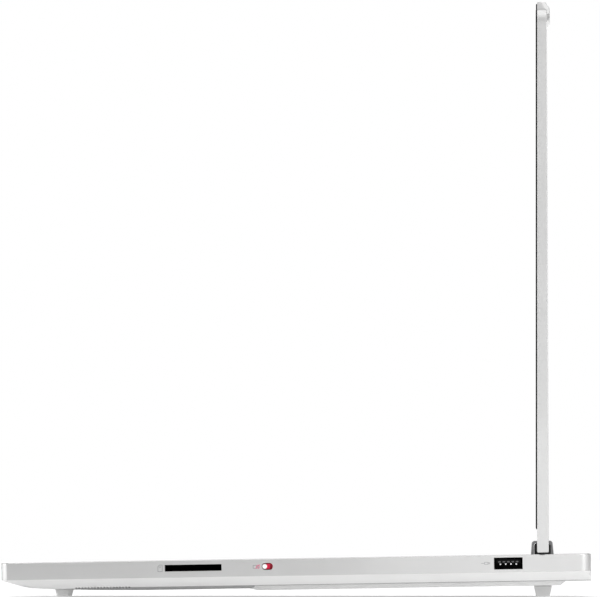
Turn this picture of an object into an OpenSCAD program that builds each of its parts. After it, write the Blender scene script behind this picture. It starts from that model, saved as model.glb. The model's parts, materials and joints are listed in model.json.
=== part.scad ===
// Laptop computer with a 16 inch screen, standing open on its feet with the lid upright.
// Millimetres. X is the width, Y runs from the front edge to the rear edge and Z is up.
// The origin is on the table, below the centre of the whole machine.
// The base is drawn in a deck frame: z = 0 is the deck, which slopes up towards the rear.
// The lid is drawn in a lid frame: its origin is the hinge axis and +Z runs up the lid.

/* [Base] */
// Width of the base
case_w = 360; // [350:1:370]
// Depth of the base, front edge to rear edge
case_d = 260; // [258:1:264]
// Slope of the deck, in degrees
deck_tilt = 0.93; // [0.8:0.01:1.05]
// Height of the deck above the table at the middle of the base
deck_z = 17.04; // [16.6:0.02:17.6]
// Plan radius of the front corners
front_r = 3; // [2:0.5:6]
// Plan radius of the rear corners
rear_r = 5; // [3:0.5:8]
// Wall thickness of the two case shells
wall = 1.5; // [1.3:0.1:1.7]

/* [Lid] */
// Width of the lid
lid_w = 359.2; // [349:1:369]
// Thickness of the lid over its lower half
lid_t = 5.66; // [5.5:0.02:5.7]
// Thickness of the lid at its top edge
lid_top_t = 4.78; // [4.7:0.02:5]
// Length of the lid from the hinge axis to its top edge
lid_len = 237.15; // [236:0.05:238]
// Height of the hinge axis above the deck
axis_h = 3.45; // [3.4:0.01:3.6]
// Half width of the raised camera housing on the top edge
bump_half_w = 60; // [45:1:70]

/* [Keyboard] */
// Pitch of one key
key_unit = 18; // [17.5:0.1:18]
// Gap between neighbouring keycaps
key_gap = 2.6; // [2.4:0.1:3]
// Travel of a key
key_travel = 1.5; // [1:0.1:1.6]

/* [Touchpad] */
// Width of the touchpad
pad_w = 124; // [110:1:130]
// Depth of the touchpad
pad_d = 78; // [70:1:80]

/* [Hidden] */
$fn = 48;
eps = 0.01;

// Heights in the deck frame
seam_z = -7.6;
deck_t = 1.6;
front_floor_z = -12.9;
rear_floor_z = -11.92;
plateau_z = -13.78;
cover_t = 1.3;
half_d = case_d / 2;
// Moves the case so that the origin is under the middle of the whole machine
centre_shift = -0.095;

// Hinge
axis_y = 108.64;
lid_back_y = 2.93;
pin_r = 1.1;
pin_clearance = 0.05;
hinge_x0 = 128;
hinge_x1 = 162;
bracket_x0 = 145;
bracket_x1 = 160.5;
bracket_half_t = 3.55;
cover_half_d = 5.05;
hinge_cover_h = 6;
lid_notch_x0 = hinge_x0 - 1;
lid_notch_x1 = hinge_x1 + 1.2;
lid_notch_h = 6.3;
lid_bottom = -2.65;
trough_r = 3.84;

// Lid front: the black bezel lies on the front of the white shell
bezel_t = 0.5;
bezel_bottom = 7.85;
bezel_top = lid_len + 4.3;
gasket_t = 0.12;
lid_front_y = lid_back_y - lid_t;
shell_front_y = lid_front_y + bezel_t;
lid_top_back_y = lid_front_y + lid_top_t;
taper_z = 113;
lid_corner_r = 6;
screen_w = 344.7;
screen_h = 215.4;
screen_bottom = 13.2;
panel_w = 350;
panel_bottom = 10;
panel_h = 222;
lid_wall = 1;
hollow_y0 = -1.6;
arm_x0 = 165;
arm_x1 = 177;
arm_screw_z = [18, 36, 54];
lid_cable_x0 = -119;
lid_cable_x1 = -112;

// Camera housing on the top edge of the lid
bump_top = lid_len + 5.2;
camera_z = lid_len + 1.2;
lens_r = 1.8;

// Keyboard
keys_rear_y = 90;
function_row_d = 12;
key_top_z = -0.15;
key_h = 2.05;
web_top_z = -1.3;
web_t = 1.1;
hole_clearance = 0.35;
main_units = 15;
pad_unit = 0.9;
pad_columns = 4;
keys_w = (main_units + pad_unit * pad_columns) * key_unit;
key_rows = 6;
key_corner_r = 1.2;
tub_margin = 1.2;
plate_top_z = key_top_z - key_h - key_travel - 0.4;
plate_t = 1;

// Touchpad
pad_front_y = -112;
pad_gap = 0.35;
pad_pivot_z = -1.7;

// Power button
power_button_y = 99;
power_button_r = 4.8;

// Ports, as [centre y, centre z, width, height] in the deck frame
usb_port = [93.6, -3.75, 12.6, 5.2];
card_port = [-45.35, -3.45, 25, 2.9];
shutter_port = [-12.65, -3.35, 4.9, 3.05];
power_port = [90, -4, 11.6, 4.9];
hdmi_port = [68, -3.9, 14.4, 4.9];
usb_c_ports = [[48, -3.9, 9.4, 3.6], [32, -3.9, 9.4, 3.6]];
audio_port = [14, -3.9, 3.7, 3.7];
socket_depth = 8.2;
shell_t = 0.3;
shutter_travel = 1.7;

// Cooling
fan_x = 92;
fan_y = 74;
fan_r = 28;
fan_w = 64;
fan_top_z = -6.2;
fan_bottom_z = -12;
blade_count = 31;
vent_x0 = 38;
vent_x1 = 126;
vent_z0 = -10.3;
vent_z1 = -2.3;
grille_pitch = 4;
intake_slots = 22;
intake_pitch = 2.6;
speaker_dots = 18;
speaker_dot_pitch = 1.38;
pipe_w = 3.5;
pipe_z = -11.3;
pipe_t = 1.4;
fin_pitch = 2.75;
fin_t = 0.3;

// Circuit boards
board_bottom_z = -8;
board_t = 1;
board_top_z = board_bottom_z + board_t;

// Screws through the bottom cover, as [x, y, z of the head's bearing face]
cover_screws = [
    [0, -121, -9.4], [80, -121, -9.4], [-80, -121, -9.4], [166, -121, -9.4], [-166, -121, -9.4],
    [0, -20, -11.7], [120, -20, -11.7], [-120, -20, -11.7],
    [0, 121, -11.1], [134, 121, -11.1], [-134, 121, -11.1], [170, 121, -11.1], [-170, 121, -11.1]
];
screw_head_r = 2.2;
screw_head_h = 0.8;
screw_r = 1;
boss_r = 2.4;

case_white = [0.93, 0.93, 0.92];
trim_black = [0.06, 0.06, 0.07];
steel = [0.62, 0.63, 0.65];
dark_steel = [0.14, 0.14, 0.15];
hinge_grey = [0.5, 0.5, 0.51];
rubber_grey = [0.72, 0.72, 0.72];
board_green = [0.05, 0.2, 0.12];
chip_black = [0.08, 0.08, 0.09];
copper = [0.72, 0.42, 0.27];
key_white = [0.9, 0.9, 0.89];
signal_red = [0.75, 0.16, 0.28];
gold = [0.8, 0.65, 0.3];

// ---------- Helpers ----------

function arc(c, r, a0, a1, n = 6) =
    [for (i = [0:n]) let (a = a0 + (a1 - a0) * i / n) [c[0] + r * cos(a), c[1] + r * sin(a)]];

// Rectangle w by d about the origin with four equal rounded corners
function rounded(w, d, r, n = 4) = concat(
    arc([w / 2 - r, d / 2 - r], r, 0, 90, n),
    arc([r - w / 2, d / 2 - r], r, 90, 180, n),
    arc([r - w / 2, r - d / 2], r, 180, 270, n),
    arc([w / 2 - r, r - d / 2], r, 270, 360, n));

// Plan of the base, drawn in by inset on all sides
function case_plan(inset) =
    let (
        x = case_w / 2 - inset,
        y = half_d - inset,
        f = max(front_r - inset, 0.8),
        r = max(rear_r - inset, 0.8)
    )
    concat(
        arc([x - r, y - r], r, 0, 90),
        arc([r - x, y - r], r, 90, 180),
        arc([f - x, f - y], f, 180, 270),
        arc([x - f, f - y], f, 270, 360));

// Unit normal of the segment from a to b
function seg_normal(a, b) = let (d = b - a) [-d[1], d[0]] / norm(d);

// Mitred offset of point i of a path by half width h
function path_side(p, i, h) =
    let (
        last = len(p) - 1,
        n0 = seg_normal(p[max(i - 1, 0)], p[max(i, 1)]),
        n1 = seg_normal(p[min(i, last - 1)], p[min(i + 1, last)]),
        m = n0 + n1
    )
    p[i] + m * (2 * h / (m * m));

// Outline of a flat strip of width w that follows the path p
function strip(p, w) = concat(
    [for (i = [0:len(p) - 1]) path_side(p, i, w / 2)],
    [for (i = [len(p) - 1:-1:0]) path_side(p, i, -w / 2)]);

module block(lo, hi) {
    translate(lo) cube(hi - lo);
}

module pair() {
    children();
    mirror([1, 0, 0]) children();
}

// Profile in (Y, Z), extruded w wide about X = 0
module along_x(w) {
    rotate([90, 0, 90]) translate([0, 0, -w / 2]) linear_extrude(w) children();
}

// Profile in (X, Z), extruded from y0 to y1
module along_y(y0, y1) {
    translate([0, y1, 0]) rotate([90, 0, 0]) linear_extrude(y1 - y0) children();
}

module prism(z0, z1) {
    translate([0, 0, z0]) linear_extrude(z1 - z0) children();
}

module rod_x(r, x0, x1) {
    translate([x0, 0, 0]) rotate([0, 90, 0]) cylinder(r = r, h = x1 - x0);
}

module deck_frame() {
    translate([0, centre_shift, deck_z]) rotate([deck_tilt, 0, 0]) children();
}

module lid_frame() {
    deck_frame() translate([0, axis_y, axis_h]) rotate([-deck_tilt, 0, 0]) children();
}

// Opening for a port through the side wall; side is 1 on the right and -1 on the left
module port_cut(port, side) {
    translate([side * case_w / 2, port[0], port[1]])
        cube([2 * wall + 0.1, port[2], port[3]], center = true);
}

// Metal shell of a socket behind the side wall, open at its outer end
module socket_shell(port, side) {
    size = [socket_depth, port[2] - 0.1, port[3] - 0.1];
    x = side * (case_w / 2 - wall - socket_depth / 2);
    translate([x, port[0], port[1]]) difference() {
        cube(size + [0, 2 * shell_t, 2 * shell_t], center = true);
        translate([side * shell_t, 0, 0]) cube(size, center = true);
    }
}

// Pocket in the underside of the deck that makes room for a socket's shell
module socket_pocket(port, side) {
    x = side * (case_w / 2 - wall - socket_depth / 2);
    translate([x, port[0], port[1]])
        cube([socket_depth, port[2] + 3 * shell_t, port[3] + 3 * shell_t], center = true);
}

// ---------- Case shells ----------

module case_screw_holes() {
    for (s = cover_screws) translate([s[0], s[1], s[2]]) {
        translate([0, 0, -5]) cylinder(r = screw_head_r + 0.15, h = 5);
        cylinder(r = screw_r + 0.15, h = 3);
    }
}

module vent_opening() {
    pair() block([vent_x0, half_d - 3 * wall, vent_z0], [vent_x1, half_d + 1, vent_z1]);
}

module top_case() {
    bracket_slot = bracket_half_t + 0.12;
    tub = [keys_w + 2 * tub_margin, function_row_d + (key_rows - 1) * key_unit + 2 * tub_margin];
    tub_y = keys_rear_y + tub_margin - tub[1] / 2;
    color(case_white) deck_frame() difference() {
        union() {
            difference() {
                prism(seam_z, 0) polygon(case_plan(0));
                prism(seam_z - 1, -deck_t) polygon(case_plan(wall));
            }
            translate([0, tub_y, 0])
                prism(web_top_z - web_t, -deck_t + eps) square(tub + [3, 3], center = true);
            for (s = cover_screws) translate([s[0], s[1], s[2] + cover_t])
                cylinder(r = boss_r, h = -s[2] - cover_t - deck_t + eps);
        }
        translate([0, tub_y, 0]) prism(web_top_z, 1) polygon(rounded(tub[0], tub[1], 1.5));
        prism(-2 * deck_t, web_top_z + eps) all_keys(-hole_clearance);
        pad_opening();
        prism(-2 * deck_t, 1) translate([0, power_button_y]) circle(r = power_button_r + 0.25);
        // Slots under the hinge covers for the brackets and the screen cable
        pair() translate([0, axis_y, 0])
            block([hinge_x0 + 2, -bracket_slot, -2 * deck_t], [hinge_x1 - 1, bracket_slot, 1]);
        hinge_trough();
        vent_opening();
        port_cut(usb_port, 1);
        socket_pocket(usb_port, 1);
        port_cut(card_port, 1);
        shutter_cut();
        for (p = [power_port, hdmi_port]) {
            port_cut(p, -1);
            socket_pocket(p, -1);
        }
        for (p = usb_c_ports) port_cut(p, -1);
        translate([-case_w / 2 - 1, audio_port[0], audio_port[1]])
            rod_x(audio_port[2] / 2 + 0.6, 0, 2 * wall);
    }
}

// Shallow round trough in the deck, which lets the lower edge of the lid swing past
module hinge_trough() {
    difference() {
        translate([0, axis_y, axis_h]) rod_x(trough_r, -case_w, case_w);
        pair() block([lid_notch_x0, axis_y - 5, -5], [lid_notch_x1, axis_y + 5, 5]);
    }
}

module shutter_cut() {
    r = shutter_port[3] / 2;
    run = shutter_port[2] / 2 - r;
    translate([case_w / 2 - 2 * wall, shutter_port[0], shutter_port[1]]) {
        translate([0, -run, 0]) rod_x(r, 0, 4 * wall);
        translate([0, run, 0]) rod_x(r, 0, 4 * wall);
        translate([0, -run, -r]) cube([4 * wall, 2 * run, 2 * r]);
    }
}

module pad_opening() {
    translate([0, pad_front_y + pad_d / 2, 0])
        prism(-2 * deck_t, 1) polygon(rounded(pad_w + 2 * pad_gap, pad_d + 2 * pad_gap, 2));
}

// Underside of the base as a (Y, Z) profile, raised by t for the inside of the cover
module underside(t) {
    polygon([
        [-half_d, seam_z + 5], [-half_d, seam_z + t], [-half_d + 0.8, seam_z - 0.35 + t],
        [-120, -10.75 + t], [-117, -11.25 + t], [-104, -12.05 + t], [-86, -12.6 + t],
        [-68, front_floor_z + t], [-20, front_floor_z + t], [-17, rear_floor_z + t],
        [half_d, rear_floor_z + t], [half_d, seam_z + 5]
    ]);
}

// Sloping sides of the cover as an (X, Z) profile
module cover_sides(t) {
    x = case_w / 2;
    polygon([
        [-x, seam_z + 5], [-x, seam_z + t], [1 - x, seam_z - 0.5 + t], [6 - x, rear_floor_z + 0.1 + t],
        [14 - x, -15], [x - 14, -15], [x - 6, rear_floor_z + 0.1 + t], [x - 1, seam_z - 0.5 + t],
        [x, seam_z + t], [x, seam_z + 5]
    ]);
}

// Raised air intake area under the fans, drawn in by t on the inside
module plateau(t) {
    x = case_w / 2 - 9 - t;
    intersection() {
        along_x(2 * x) polygon([
            [-20 + t, front_floor_z + t], [-17.2 + t, plateau_z + t],
            [116.4 - t, plateau_z + t], [118.6 - t, rear_floor_z + t],
            [118.6 - t, rear_floor_z + 4], [-20 + t, rear_floor_z + 4]
        ]);
        along_y(-30, half_d) polygon([
            [-x, -8], [-x, rear_floor_z + t], [2 - x, plateau_z - 1], [x - 2, plateau_z - 1],
            [x, rear_floor_z + t], [x, -8]
        ]);
    }
}

module cover_body(t) {
    intersection() {
        prism(-20, seam_z + 5 * t) polygon(case_plan(t));
        along_x(case_w) underside(t);
        along_y(-half_d, half_d) cover_sides(t);
    }
    intersection() {
        plateau(t);
        prism(-20, seam_z - 1) square([case_w, case_d], center = true);
    }
}

module bottom_cover() {
    color(case_white) deck_frame() difference() {
        cover_body(0);
        cover_body(cover_t);
        vent_opening();
        case_screw_holes();
        // Air intake slots under both fans
        for (i = [0:intake_slots - 1])
            pair() translate([fan_x, fan_y - 27.5 + i * intake_pitch, 0])
                block([-27, 0, -20], [27, 1.4, rear_floor_z + 1]);
        // Row of small speaker openings in each sloping side
        for (i = [0:speaker_dots - 1])
            pair() translate([case_w / 2, -97.5 + i * speaker_dot_pitch, 0])
                block([-6.4, 0, -20], [-5.3, 0.7, -8]);
    }
}

module rear_grille() {
    color(trim_black) deck_frame() pair() difference() {
        block([vent_x0 - 1, half_d - 3.6, vent_z0 + 0.3], [vent_x1 + 1, half_d - 2.2, vent_z1 + 0.3]);
        for (i = [0:21])
            translate([vent_x0 + i * grille_pitch, half_d, 0])
                block([0.8, -5, vent_z0 + 1.2], [3.6, 0, vent_z1 - 0.8]);
    }
}

module intake_mesh() {
    color(trim_black) deck_frame()
        pair() block([fan_x - 29, fan_y - 29, -12.42], [fan_x + 29, fan_y + 31, -12.15]);
}

// ---------- Boards, chips and cooling ----------

module motherboard() {
    color(board_green) deck_frame() {
        prism(board_bottom_z, board_top_z) polygon([
            [-58, 104], [-58, 38], [-128, 38], [-128, 105], [-177, 105], [-177, -2], [-118, -2],
            [-118, -10], [118, -10], [118, -2], [177, -2], [177, 105], [128, 105], [128, 38],
            [58, 38], [58, 104]
        ]);
        // Power chokes and capacitors round the two chips
        for (i = [0:6])
            translate([13 * i - 42, 88, board_top_z - eps]) cube([8, 8, 1.4]);
        for (i = [0:9])
            translate([10 * i - 46, 32, board_top_z - eps]) cube([4, 4, 1.2]);
    }
}

module processor() {
    color(chip_black) deck_frame() {
        block([-42, 48, board_bottom_z - 0.8], [-6, 78, board_bottom_z]);
        block([-36, 56, board_bottom_z - 1.3], [-12, 70, board_bottom_z - 0.8 + eps]);
    }
}

module graphics_chip() {
    color(chip_black) deck_frame() {
        block([6, 44, board_bottom_z - 0.8], [46, 84, board_bottom_z]);
        block([14, 52, board_bottom_z - 1.3], [38, 76, board_bottom_z - 0.8 + eps]);
    }
}

module cooling_plate() {
    color(copper) deck_frame() difference() {
        block([-48, 44, board_bottom_z - 1.9], [50, 84, board_bottom_z - 1.3]);
        block([-4, 40, board_bottom_z - 3], [4, 56, board_bottom_z]);
    }
}

module heat_pipes() {
    color(copper) deck_frame() prism(pipe_z, pipe_z + pipe_t) {
        pipe([[44, 73], [-46, 73], [-51.6, 79], [-51.6, 107], [-57, 112.9], [-124, 112.9]]);
        pipe([[-8, 60], [-50, 60], [-56, 66], [-56, 104.6], [-60, 108.9], [-124, 108.9]]);
        pipe([[-44, 66.5], [46, 66.5], [51.6, 73], [51.6, 107], [57, 112.9], [124, 112.9]]);
        pipe([[8, 53], [50, 53], [56, 59], [56, 104.6], [60, 108.9], [124, 108.9]]);
    }
}

module pipe(path) {
    polygon(strip(path, pipe_w));
}

module heatsinks() {
    z0 = pipe_z + pipe_t;
    z1 = -2.7;
    color(steel) deck_frame() pair() {
        block([40, 107, z0], [124, 126, z0 + 0.5]);
        block([40, 107, z1 - 0.5], [124, 126, z1]);
        for (i = [0:30])
            translate([40.2 + i * fin_pitch, 107, z0]) cube([fin_t, 19, z1 - z0]);
    }
}

module fan_housing() {
    bearing_r = 3.2;
    color(trim_black) deck_frame() translate([fan_x, fan_y, 0]) {
        difference() {
            block([-fan_w / 2, -fan_w / 2, fan_bottom_z], [fan_w / 2, fan_w / 2, fan_top_z]);
            prism(fan_bottom_z + 0.8, fan_top_z - 0.8) {
                circle(r = fan_r + 2);
                translate([-fan_r - 2, 0]) square([2 * fan_r + 4, fan_w]);
            }
            prism(fan_top_z - 2, fan_top_z + 1) circle(r = fan_r - 6);
            prism(fan_bottom_z - 1, fan_bottom_z + 2) difference() {
                circle(r = fan_r - 6);
                circle(r = 9);
                for (a = [0, 120, 240]) rotate(a) translate([0, -2]) square([fan_r, 4]);
            }
        }
        difference() {
            prism(fan_bottom_z + 0.8 - eps, fan_bottom_z + 3) circle(r = bearing_r);
            prism(fan_bottom_z + 0.8, fan_bottom_z + 4) circle(r = 1.05);
        }
    }
}

module fan_housing_left() {
    mirror([1, 0, 0]) fan_housing();
}

module fan_housing_right() {
    fan_housing();
}

module fan_rotor() {
    z0 = fan_bottom_z + 1.2;
    z1 = fan_top_z - 1.2;
    color(dark_steel) deck_frame() translate([fan_x, fan_y, 0]) {
        difference() {
            prism(z0, z1) circle(r = 11);
            prism(z0 - 1, z1 - 1.1) circle(r = 9.6);
        }
        prism(fan_bottom_z + 1, z1 - 1) circle(r = 1);
        for (i = [0:blade_count - 1]) rotate(i * 360 / blade_count)
            block([10.6, -0.25, z0], [fan_r - 1, 0.25, z1]);
    }
}

module fan_rotor_left() {
    mirror([1, 0, 0]) fan_rotor();
}

module fan_rotor_right() {
    fan_rotor();
}

module battery_pack() {
    cell = [66, 61, 4.8];
    cell_pitch = 69;
    tray_z = -10.1;
    color(chip_black) deck_frame() {
        block([-138, -101, tray_z - 0.4], [138, -30, tray_z]);
        for (i = [0:3])
            translate([i * cell_pitch - 136, -99, tray_z - eps]) cube(cell);
        block([-60, -36, tray_z - eps], [60, -31, -6]);
    }
}

module memory_modules() {
    color(board_green) deck_frame() pair() {
        block([2, -1, -10.2], [70, 29, -9.2]);
        block([2, -5, -10.6], [70, 0, board_bottom_z]);
        for (i = [0:3]) block([5 + 16 * i, 8, -11.2], [17 + 16 * i, 18, -10.2 + eps]);
    }
}

module storage_drives() {
    color(board_green) deck_frame() pair() {
        block([82, 6, -9.9], [162, 28, -9.1]);
        block([82, 6, -9.1 - eps], [87, 28, board_bottom_z]);
        for (i = [0:2]) block([94 + 20 * i, 9, -10.9], [108 + 20 * i, 25, -9.9 + eps]);
    }
}

module wireless_card() {
    color(board_green) deck_frame() {
        block([-165, 50, -9.6], [-143, 80, -8.8]);
        block([-165, 46, -9.6], [-143, 50 + eps, board_bottom_z]);
        block([-162, 56, -10.6], [-146, 76, -9.6 + eps]);
    }
}

module speaker() {
    color(chip_black) deck_frame() difference() {
        block([145, -112, -10], [171, -66, -4]);
        block([170, -98, -9], [172, -73, -6]);
    }
}

module speaker_left() {
    mirror([1, 0, 0]) speaker();
}

module speaker_right() {
    speaker();
}

// ---------- Ports ----------

// Contact tongue of a socket, w wide and from z0 to z1 about the centre of the port
module tongue(port, side, w, z0, z1) {
    back = wall + socket_depth - shell_t;
    front = wall + 0.8;
    x = side > 0 ? case_w / 2 - back : front - case_w / 2;
    translate([x, port[0] - w / 2, port[1] + z0]) cube([back - front, w, z1 - z0]);
}

module usb_socket() {
    color(dark_steel) deck_frame() socket_shell(usb_port, 1);
}

module usb_tongue() {
    color(trim_black) deck_frame() tongue(usb_port, 1, 10.6, 0.1, 1.7);
}

module card_reader() {
    x1 = case_w / 2 - wall - 0.1;
    color(steel) deck_frame() translate([0, card_port[0], card_port[1]]) difference() {
        block([x1 - 26, -14, -1.9], [x1, 14, 1.75]);
        block([x1 - 24.5, -12.45, -1.4], [x1 + 1, 12.45, 1.4]);
    }
}

module usb_c_sockets() {
    color(steel) deck_frame() for (p = usb_c_ports) {
        socket_shell(p, -1);
        tongue(p, -1, 6.4, -0.35, 0.35);
    }
}

module hdmi_socket() {
    color(steel) deck_frame() {
        socket_shell(hdmi_port, -1);
        tongue(hdmi_port, -1, 11, 0.1, 1.1);
    }
}

module audio_jack() {
    color(trim_black) deck_frame() translate([-case_w / 2, audio_port[0], audio_port[1]]) {
        difference() {
            union() {
                rod_x(audio_port[2] / 2 + 0.5, 0.3, 2.2);
                block([2, -3, -3.1], [9, 3, 1.9]);
            }
            rod_x(1.8, 0, 8);
        }
    }
}

module power_inlet() {
    color(trim_black) deck_frame() {
        socket_shell(power_port, -1);
        tongue(power_port, -1, 7.6, -0.8, 0.8);
    }
}

module side_board() {
    color(board_green) deck_frame() {
        block([151, -62, -6.9], [177, -2.4, -5.9]);
        block([171, -18, -5.9 - eps], [175.6, -7, -5.2]);
        block([154, -58, -5.9 - eps], [160, -46, -5.4]);
    }
}

// ---------- Feet, screws and cable ----------

// Foot bar with sloping sides; its flat sole lies on the table
module foot(y, top_w, sole_w, x0, x1, top_z) {
    foot_len = x1 - x0;
    intersection() {
        translate([(x0 + x1) / 2, y + centre_shift, 0]) along_x(foot_len)
            polygon([[-sole_w / 2, 0], [sole_w / 2, 0], [top_w / 2 + 0.2, top_z + 1],
                [-top_w / 2 - 0.2, top_z + 1]]);
        deck_frame() along_x(2 * case_w) foot_limit();
    }
}

// Everything below the underside of the base
module foot_limit() {
    polygon([[-150, -40], [-150, -10.9], [-117, -11.25], [-104, -12.05], [-86, -12.6],
        [-68, front_floor_z], [-20, front_floor_z], [-17.2, plateau_z], [116.4, plateau_z],
        [150, plateau_z], [150, -40]]);
}

module front_foot() {
    color(rubber_grey) foot(-105, 7.2, 5.1, -45, 45, 3.4);
}

module rear_foot() {
    color(rubber_grey) foot(108.9, 8.2, 6, -150, 150, 5.2);
}

module case_screws() {
    color(steel) deck_frame() for (s = cover_screws) translate([s[0], s[1], s[2]]) {
        translate([0, 0, -screw_head_h]) cylinder(r = screw_head_r, h = screw_head_h);
        cylinder(r = screw_r, h = 5);
    }
}

module keyboard_plate() {
    color(steel) deck_frame()
        block([1 - keys_w / 2, -13, plate_top_z - plate_t], [keys_w / 2 - 1, keys_rear_y + 1, plate_top_z]);
}

module power_board() {
    color(board_green) deck_frame() {
        block([-16, 93.5, -4.6], [16, 104.5, -3.6]);
        block([-2, power_button_y - 2, -3.6 - eps], [2, power_button_y + 2, -3.2]);
    }
}

// Flat cable from the motherboard up to the hinge, then round along the hinge axis
module display_cable() {
    x1 = -lid_notch_x0 - 0.2;
    color(trim_black) deck_frame() {
        translate([0, axis_y, axis_h]) rod_x(1, -143, x1);
        block([-143, axis_y - 0.6, -6.4], [-138, axis_y + 0.6, axis_h]);
        block([-143, 92, -6.4], [-138, axis_y + 0.6, -5.6]);
        block([-145, 88, board_top_z], [-136, 93, -5.4]);
    }
}

// ---------- Hinges ----------

module hinge_bracket() {
    top = 1.62;
    r = 1.4;
    color(dark_steel) deck_frame() {
        translate([0, axis_y, axis_h]) difference() {
            translate([(bracket_x0 + bracket_x1) / 2, 0, 0]) along_x(bracket_x1 - bracket_x0)
                polygon(concat(
                    [[-bracket_half_t, -axis_h - 3], [bracket_half_t, -axis_h - 3]],
                    arc([bracket_half_t - r, top - r], r, 0, 90),
                    arc([r - bracket_half_t, top - r], r, 90, 180)));
            rod_x(pin_r + pin_clearance, bracket_x0 - 1, bracket_x1 + 1);
        }
        difference() {
            block([bracket_x0, 93.4, -3], [bracket_x1 + 3, axis_y, -1.7]);
            for (x = [bracket_x0 + 3, bracket_x1]) translate([x, 97.5, -4]) cylinder(r = 1.1, h = 4);
        }
    }
}

module hinge_bracket_left() {
    mirror([1, 0, 0]) hinge_bracket();
}

module hinge_bracket_right() {
    hinge_bracket();
}

// Arch-shaped cover that stands on the deck over each bracket
module hinge_covers() {
    side_t = 1.37;
    top_t = 0.85;
    r = 1.3;
    inner_r = 1.2;
    lean = 0.4;
    inner = cover_half_d - side_t;
    color(hinge_grey) deck_frame() pair() translate([(hinge_x0 + hinge_x1) / 2, axis_y, 0])
        along_x(hinge_x1 - hinge_x0) polygon(concat(
            [[-inner, 0], [-cover_half_d, 0]],
            arc([r + lean - cover_half_d, hinge_cover_h - r], r, 180, 90),
            arc([cover_half_d - lean - r, hinge_cover_h - r], r, 90, 0),
            [[cover_half_d, 0], [inner, 0]],
            arc([inner - inner_r, hinge_cover_h - top_t - inner_r], inner_r, 0, 90),
            arc([inner_r - inner, hinge_cover_h - top_t - inner_r], inner_r, 90, 180)));
}

// Hinge pin with the steel arm that holds the lid
module hinge_arm() {
    color(steel) lid_frame() {
        rod_x(pin_r, bracket_x0 + 0.5, arm_x1);
        difference() {
            block([arm_x0, 0.4, -1.5], [arm_x1, 1.6, 62]);
            for (z = arm_screw_z)
                translate([(arm_x0 + arm_x1) / 2, -1, z]) rotate([-90, 0, 0]) cylinder(r = 1.1, h = 4);
        }
    }
}

module hinge_arm_left() {
    mirror([1, 0, 0]) hinge_arm();
}

module hinge_arm_right() {
    hinge_arm();
}

module arm_screws() {
    color(dark_steel) lid_frame() pair() for (z = arm_screw_z)
        translate([(arm_x0 + arm_x1) / 2, 0, z]) rotate([-90, 0, 0]) {
            translate([0, 0, 0.2]) cylinder(r = 1, h = 2);
            translate([0, 0, 0.15]) cylinder(r = 1.9, h = 0.25);
        }
}

// ---------- Lid ----------

// Side profile of the lid shell in (Y, Z); its back leans in above taper_z
module lid_profile() {
    r = 0.6;
    polygon(concat(
        arc([shell_front_y + r, lid_bottom + r], r, 180, 270),
        arc([lid_back_y - r, lid_bottom + r], r, 270, 360),
        [[lid_back_y, taper_z], [lid_top_back_y, lid_len - 0.6], [lid_top_back_y - 0.6, lid_len],
            [shell_front_y, lid_len]]));
}

// Front view of the lid with rounded top corners
module lid_outline(inset) {
    x = lid_w / 2 - inset;
    top = lid_len - inset;
    r = lid_corner_r - inset;
    polygon(concat(
        [[-x, lid_bottom - 1], [x, lid_bottom - 1]],
        arc([x - r, top - r], r, 0, 90),
        arc([r - x, top - r], r, 90, 180)));
}

// Camera housing: a raised lip along the top edge that also serves as the opening grip
module bump() {
    intersection() {
        along_x(2 * bump_half_w + 20) polygon([
            [shell_front_y, bump_top - 8.9], [lid_top_back_y, bump_top - 8.9],
            [2.93, bump_top - 8.3], [3.45, bump_top - 7.4], [3.3, bump_top - 2.7],
            [2.93, bump_top - 2.15], [2.12, bump_top - 1.35], [1.5, bump_top], [shell_front_y, bump_top]
        ]);
        along_y(-lid_t, lid_t) polygon([
            [-bump_half_w - 6, lid_len - 12], [bump_half_w + 6, lid_len - 12],
            [bump_half_w + 4, lid_len], [bump_half_w, bump_top],
            [-bump_half_w, bump_top], [-bump_half_w - 4, lid_len]
        ]);
    }
}

module lid_back_cover() {
    w = lid_w;
    color(case_white) lid_frame() difference() {
        union() {
            intersection() {
                along_x(w) lid_profile();
                along_y(-lid_t, lid_t) lid_outline(0);
            }
            bump();
        }
        // Pocket for the panel, open to the front
        intersection() {
            along_x(w) polygon([[-lid_t, bezel_bottom + 0.9], [lid_back_y - lid_wall, bezel_bottom + 0.9],
                [lid_back_y - lid_wall, taper_z], [lid_top_back_y - lid_wall, lid_len],
                [-lid_t, lid_len]]);
            along_y(-lid_t, lid_t) lid_outline(1.3);
        }
        // Camera pocket inside the raised housing
        block([3 - bump_half_w, -lid_t, lid_len - 2], [bump_half_w - 3, 1.9, bump_top - 1.2]);
        // Closed hollow above the hinge axis for the arms and the screen cable
        block([-w / 2 + 1.2, hollow_y0, hollow_y0], [w / 2 - 1.2, lid_back_y - lid_wall, bezel_bottom + 1]);
        pair() block([lid_notch_x0, -lid_t, -lid_t], [lid_notch_x1, lid_t, lid_notch_h]);
    }
    // Walls that close the hollow beside and above each hinge notch
    color(case_white) lid_frame() pair() notch_walls();
}

module notch_walls() {
    y0 = hollow_y0 - eps;
    y1 = lid_back_y - lid_wall + eps;
    difference() {
        union() {
            block([lid_notch_x0 - lid_wall, y0, y0], [lid_notch_x0, y1, lid_notch_h + 0.9]);
            block([lid_notch_x1, y0, y0], [lid_notch_x1 + lid_wall, y1, lid_notch_h + 0.9]);
            block([lid_notch_x0 - eps, y0, lid_notch_h], [lid_notch_x1 + eps, y1, lid_notch_h + 0.9]);
        }
        rod_x(pin_r + 0.25, lid_notch_x0 - 2, lid_notch_x1 + 2);
    }
}

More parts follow.
